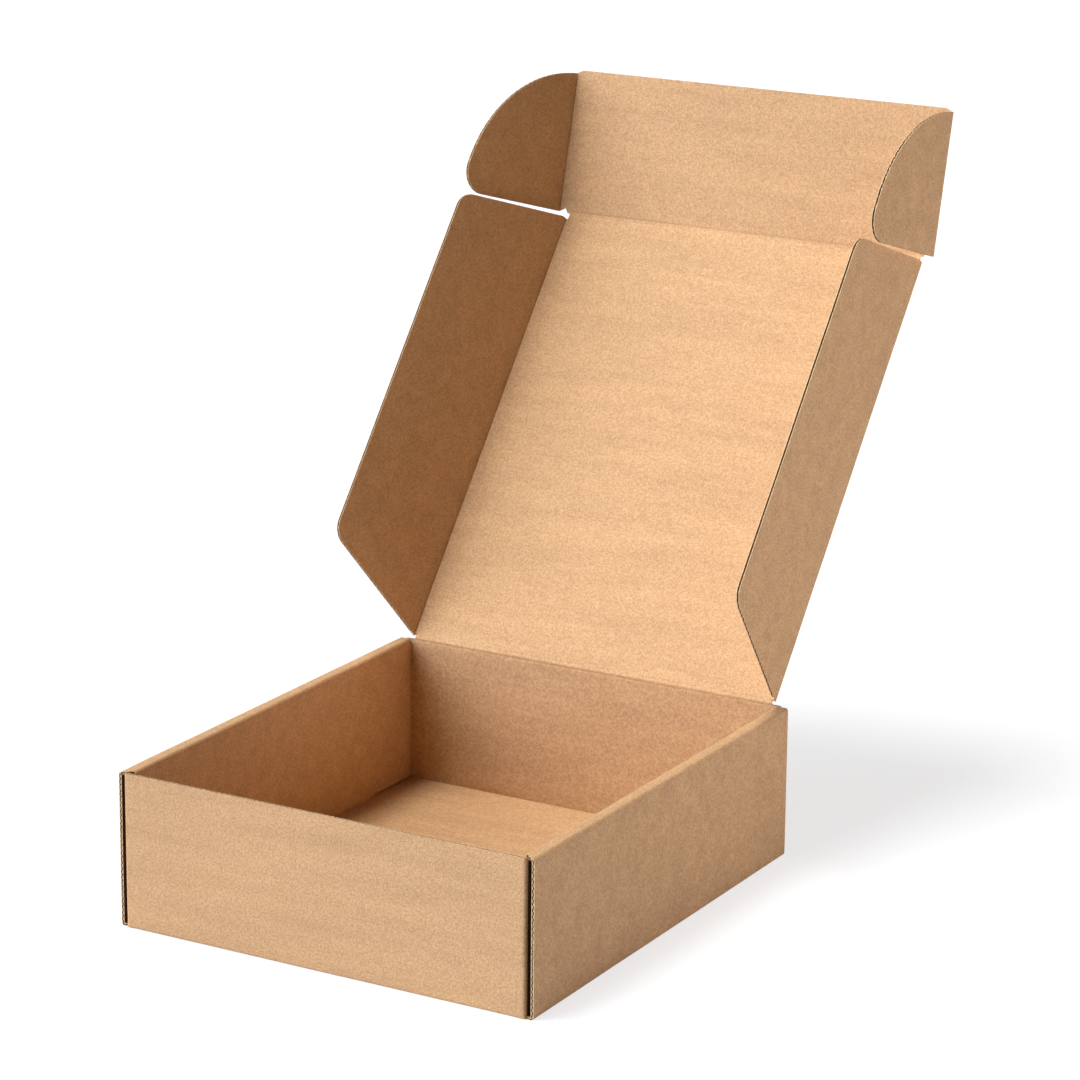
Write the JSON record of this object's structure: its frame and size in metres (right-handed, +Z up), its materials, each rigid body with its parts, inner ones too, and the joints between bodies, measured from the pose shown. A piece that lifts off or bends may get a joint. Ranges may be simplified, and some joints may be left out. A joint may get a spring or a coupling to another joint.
{
  "type": "presentation box",
  "caption": "Open corrugated box folded from one sheet, with rolled side walls, a lid with dust flaps, and a front flap with rounded ears.",
  "frame": {"origin": "middle of the tray's underside", "axes": "+X to the right, +Y to the back where the lid is hinged, +Z up"},
  "size_m": [0.2746, 0.4775, 0.3945],
  "materials": {
    "kraft_board": "matt kraft liner, brown on both sides"
  },
  "bodies": {
    "tray": {"tray": "kraft_board"},
    "lid_panel": {"lid_panel": "kraft_board"},
    "front_flap": {"front_flap": "kraft_board"},
    "left_dust_flap": {"left_dust_flap": "kraft_board"},
    "right_dust_flap": {"right_dust_flap": "kraft_board"},
    "left_ear": {"left_ear": "kraft_board"},
    "right_ear": {"right_ear": "kraft_board"}
  },
  "joints": [
    {"name": "lid_hinge", "type": "hinge", "parent": "tray", "child": "lid_panel", "pos_m": [0, 0.13935, 0.08695], "axis": [1, 0, 0], "range_deg": [-51.25, 128.75]},
    {"name": "front_flap_fold", "type": "hinge", "parent": "lid_panel", "child": "front_flap", "pos_m": [0, 0.3153, 0.30618], "axis": [1, 0, 0], "range_deg": [-24.55, 9.8]},
    {"name": "left_dust_flap_fold", "type": "hinge", "parent": "lid_panel", "child": "left_dust_flap", "pos_m": [-0.11695, 0.13935, 0.08695], "axis": [0, 0.6259, 0.7799], "range_deg": [-17.88, 44.85]},
    {"name": "right_dust_flap_fold", "type": "hinge", "parent": "lid_panel", "child": "right_dust_flap", "pos_m": [0.11695, 0.13935, 0.08695], "axis": [0, -0.6259, -0.7799], "range_deg": [-4.15, 10.35]},
    {"name": "left_ear_fold", "type": "hinge", "parent": "front_flap", "child": "left_ear", "pos_m": [-0.123, 0.3153, 0.30618], "axis": [0, 0.2462, 0.9692], "range_deg": [-17.88, 44.85]},
    {"name": "right_ear_fold", "type": "hinge", "parent": "front_flap", "child": "right_ear", "pos_m": [0.123, 0.3153, 0.30618], "axis": [0, -0.2462, -0.9692], "range_deg": [-4.15, 10.35]}
  ],
  "couplings": [
    {"joint": "front_flap_fold", "follows": "lid_hinge", "ratio": -0.19029},
    {"joint": "left_dust_flap_fold", "follows": "lid_hinge", "ratio": 0.348},
    {"joint": "right_dust_flap_fold", "follows": "lid_hinge", "ratio": 0.08},
    {"joint": "left_ear_fold", "follows": "lid_hinge", "ratio": 0.348},
    {"joint": "right_ear_fold", "follows": "lid_hinge", "ratio": 0.08}
  ]
}
